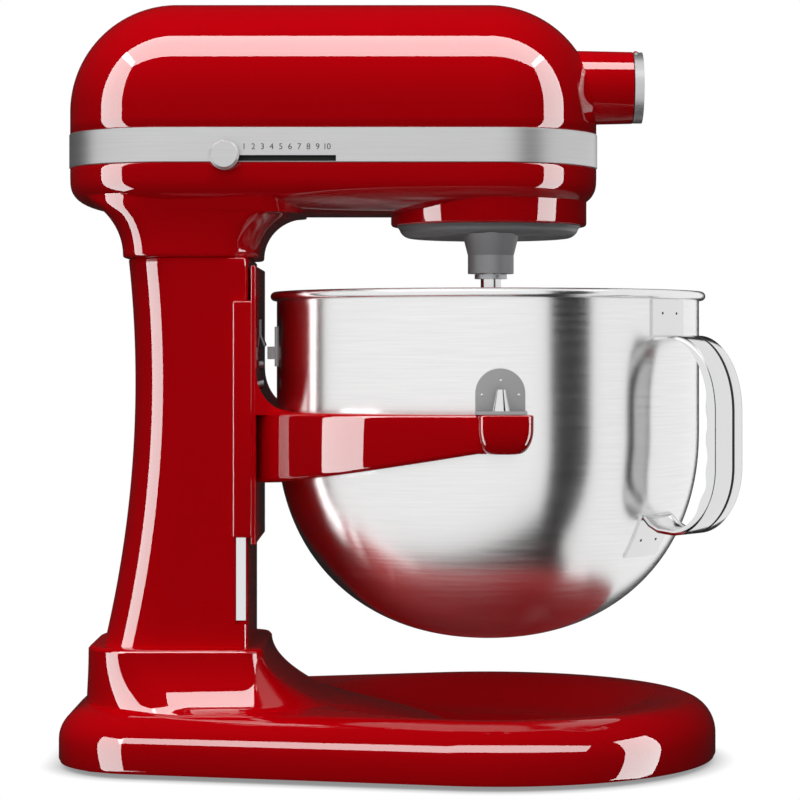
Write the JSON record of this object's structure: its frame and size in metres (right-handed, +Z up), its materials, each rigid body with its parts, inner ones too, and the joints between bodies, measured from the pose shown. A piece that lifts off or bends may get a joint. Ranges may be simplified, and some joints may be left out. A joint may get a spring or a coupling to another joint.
{
  "type": "stand mixer",
  "caption": "Bowl-lift stand mixer: red enamelled casting, silver band, steel bowl with handle on two lifting arms, planetary drive.",
  "frame": {"origin": "centre of the mixer's outline on the table, under the feet", "axes": "+X towards the front, where the attachment hub is; +Y towards the lift lever's side; +Z up"},
  "size_m": [0.3726, 0.2822, 0.4185],
  "materials": {
    "red_enamel": "high gloss enamel",
    "black_rubber": "matt",
    "zinc_steel": "zinc plated",
    "polished_steel": "polished",
    "brushed_bowl": "brushed round the bowl, bright",
    "satin_bracket": "satin",
    "satin_silver": "brushed lengthways, satin",
    "cast_grey": "smooth grey paint",
    "frame_alloy": "as cast",
    "black_plastic": "satin black",
    "gear_steel": "machined",
    "core_steel": "laminated",
    "copper_wire": "enamelled copper",
    "bush_bronze": "sintered bronze",
    "carbon": "matt carbon",
    "board_green": "lacquered board"
  },
  "bodies": {
    "stand": {"base": "red_enamel", "feet": "black_rubber", "foot_screws": "zinc_steel", "post": "red_enamel", "post_bolts": "zinc_steel", "neck_bolts": "zinc_steel", "rail_strips": "polished_steel", "head_lower": "red_enamel", "head_cover": "red_enamel", "trim_band": "satin_silver", "slot_liner": "black_plastic", "hub_barrel": "red_enamel", "hub_hinge_pin": "zinc_steel", "hub_bush": "bush_bronze", "cord_gland": "black_plastic", "speed_board": "board_green", "motor_core": "core_steel", "motor_coils": "copper_wire", "motor_bracket": "frame_alloy", "brush_holders": "black_plastic", "brushes": "carbon", "motor_bushes": "bush_bronze", "gear_frame": "frame_alloy", "shaft_bushes": "bush_bronze", "centre_bush": "bush_bronze", "ring_gear": "gear_steel"},
    "bowl_support": {"bowl_support": "red_enamel", "lift_lug": "frame_alloy", "lug_screws": "zinc_steel", "arm_pins": "polished_steel", "bowl_latch": "polished_steel"},
    "lift_lever": {"lever_crank": "polished_steel", "lever_arm": "polished_steel", "lever_grip": "black_plastic"},
    "bowl": {"bowl": "brushed_bowl", "bowl_handle": "polished_steel", "handle_plates": "polished_steel", "side_brackets": "satin_bracket", "rear_bracket": "polished_steel"},
    "planetary": {"planetary_disc": "cast_grey", "centre_shaft": "polished_steel", "crown_gear": "gear_steel", "carrier_pin": "zinc_steel"},
    "beater_drive": {"beater_shaft": "polished_steel", "beater_pinion": "gear_steel", "shaft_washer": "zinc_steel", "beater_pin": "polished_steel"},
    "hub_drive": {"hub_shaft": "polished_steel", "crown_pinion": "gear_steel", "spur_gear": "gear_steel"},
    "motor": {"motor_shaft": "polished_steel", "armature": "copper_wire", "commutator": "copper_wire", "motor_fan": "black_plastic", "motor_pinion": "gear_steel"},
    "speed_knob": {"speed_knob": "satin_silver"},
    "hub_cover": {"hub_cover": "satin_silver"},
    "lock_screw": {"lock_screw": "polished_steel"},
    "lock_knob": {"lock_knob": "black_plastic"}
  },
  "joints": [
    {"name": "bowl_lift", "type": "slide", "parent": "stand", "child": "bowl_support", "axis": [0, 0, 1], "range_m": [-0.046, 0]},
    {"name": "lift_lever_turn", "type": "hinge", "parent": "stand", "child": "lift_lever", "pos_m": [-0.099, 0, 0.19], "axis": [0, -1, 0], "range_deg": [0, 100.11]},
    {"name": "bowl_lift_off", "type": "slide", "parent": "bowl_support", "child": "bowl", "axis": [0, 0, 1], "range_m": [0, 0.016]},
    {"name": "planetary_spin", "type": "hinge", "parent": "stand", "child": "planetary", "pos_m": [0.0547, 0, 0.29], "axis": [0, 0, 1], "continuous": true},
    {"name": "beater_spin", "type": "hinge", "parent": "planetary", "child": "beater_drive", "pos_m": [0.0547, -0.035, 0.29], "axis": [0, 0, 1], "continuous": true},
    {"name": "hub_drive_spin", "type": "hinge", "parent": "stand", "child": "hub_drive", "pos_m": [0, 0, 0.3726], "axis": [1, 0, 0], "continuous": true},
    {"name": "motor_spin", "type": "hinge", "parent": "stand", "child": "motor", "pos_m": [-0.1, 0, 0.3426], "axis": [1, 0, 0], "continuous": true},
    {"name": "speed_slide", "type": "slide", "parent": "stand", "child": "speed_knob", "axis": [1, 0, 0], "range_m": [0, 0.053]},
    {"name": "hub_cover_hinge", "type": "hinge", "parent": "stand", "child": "hub_cover", "pos_m": [0.1365, 0, 0.391], "axis": [0, -1, 0], "range_deg": [0, 110]},
    {"name": "lock_screw_travel", "type": "slide", "parent": "stand", "child": "lock_screw", "axis": [0, 1, 0], "range_m": [0, 0.00375]},
    {"name": "lock_knob_turn", "type": "hinge", "parent": "lock_screw", "child": "lock_knob", "pos_m": [0.1265, 0, 0.3726], "axis": [0, 1, 0], "range_deg": [0, 1080]}
  ],
  "couplings": [
    {"joint": "lift_lever_turn", "follows": "bowl_lift", "rad_per_m": -37.984},
    {"joint": "beater_spin", "follows": "planetary_spin", "ratio": -4.5},
    {"joint": "hub_drive_spin", "follows": "planetary_spin", "ratio": -2.5},
    {"joint": "motor_spin", "follows": "planetary_spin", "ratio": 10},
    {"joint": "lock_screw_travel", "follows": "lock_knob_turn", "m_per_rad": 0.00019894}
  ]
}
